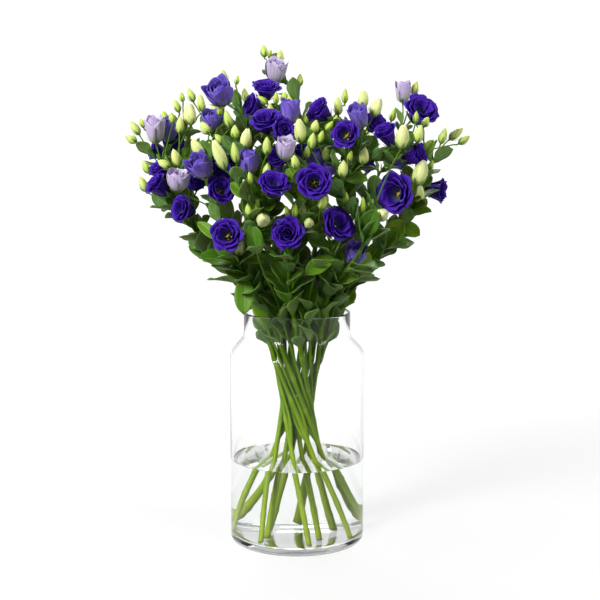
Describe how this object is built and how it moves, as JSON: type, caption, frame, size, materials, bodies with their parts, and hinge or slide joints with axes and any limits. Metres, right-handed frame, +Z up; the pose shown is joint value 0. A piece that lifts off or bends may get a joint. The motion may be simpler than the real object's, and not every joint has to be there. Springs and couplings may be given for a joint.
{
  "type": "lisianthus bunch in vase",
  "caption": "Bunch of violet and lavender lisianthus with leafy stems and pale green buds, standing in a clear glass jar vase of water.",
  "frame": {"origin": "middle of the vase's flat underside, on the surface that it stands on", "axes": "+Z up along the vase's axis, -Y towards the bunch's front, +X to the right seen from the front"},
  "size_m": [0.513, 0.3445, 0.7399],
  "materials": {
    "glass": "gloss",
    "water": "gloss",
    "stem_green": "satin",
    "violet_petal": "matte",
    "lavender_petal": "matte",
    "pale_petal": "matte"
  },
  "bodies": {
    "root": {"vase": "glass", "water": "water", "stem_01": "stem_green", "stem_02": "stem_green", "stem_03": "stem_green", "stem_04": "stem_green", "stem_05": "stem_green", "stem_06": "stem_green", "stem_07": "stem_green", "stem_08": "stem_green", "stem_09": "stem_green", "stem_10": "stem_green", "stem_11": "stem_green", "stem_12": "stem_green", "bloom_01": "lavender_petal", "bloom_02": "violet_petal", "bloom_03": "violet_petal", "bloom_04": "lavender_petal", "bloom_05": "pale_petal", "bloom_06": "violet_petal", "bloom_07": "violet_petal", "bloom_08": "violet_petal", "bloom_09": "lavender_petal", "bloom_10": "pale_petal", "bloom_11": "lavender_petal", "bloom_12": "violet_petal", "bloom_13": "violet_petal", "bloom_14": "lavender_petal", "bloom_15": "violet_petal", "bloom_16": "pale_petal", "bloom_17": "violet_petal", "bloom_18": "violet_petal", "bloom_19": "violet_petal", "bloom_20": "violet_petal", "bloom_21": "lavender_petal", "bloom_22": "violet_petal", "bloom_23": "violet_petal", "bloom_24": "violet_petal", "bloom_25": "violet_petal", "bloom_26": "violet_petal", "bloom_27": "lavender_petal", "bloom_28": "violet_petal", "bloom_29": "violet_petal", "bloom_30": "violet_petal", "bloom_31": "violet_petal", "bloom_32": "violet_petal", "bloom_33": "pale_petal", "bloom_34": "violet_petal", "bloom_35": "lavender_petal", "bloom_36": "violet_petal", "bloom_37": "pale_petal", "bloom_38": "violet_petal", "bloom_39": "lavender_petal", "bloom_40": "lavender_petal", "bloom_41": "violet_petal", "bloom_42": "violet_petal", "bloom_43": "violet_petal", "bloom_44": "violet_petal", "bloom_45": "violet_petal", "bloom_46": "lavender_petal"}
  },
  "joints": []
}
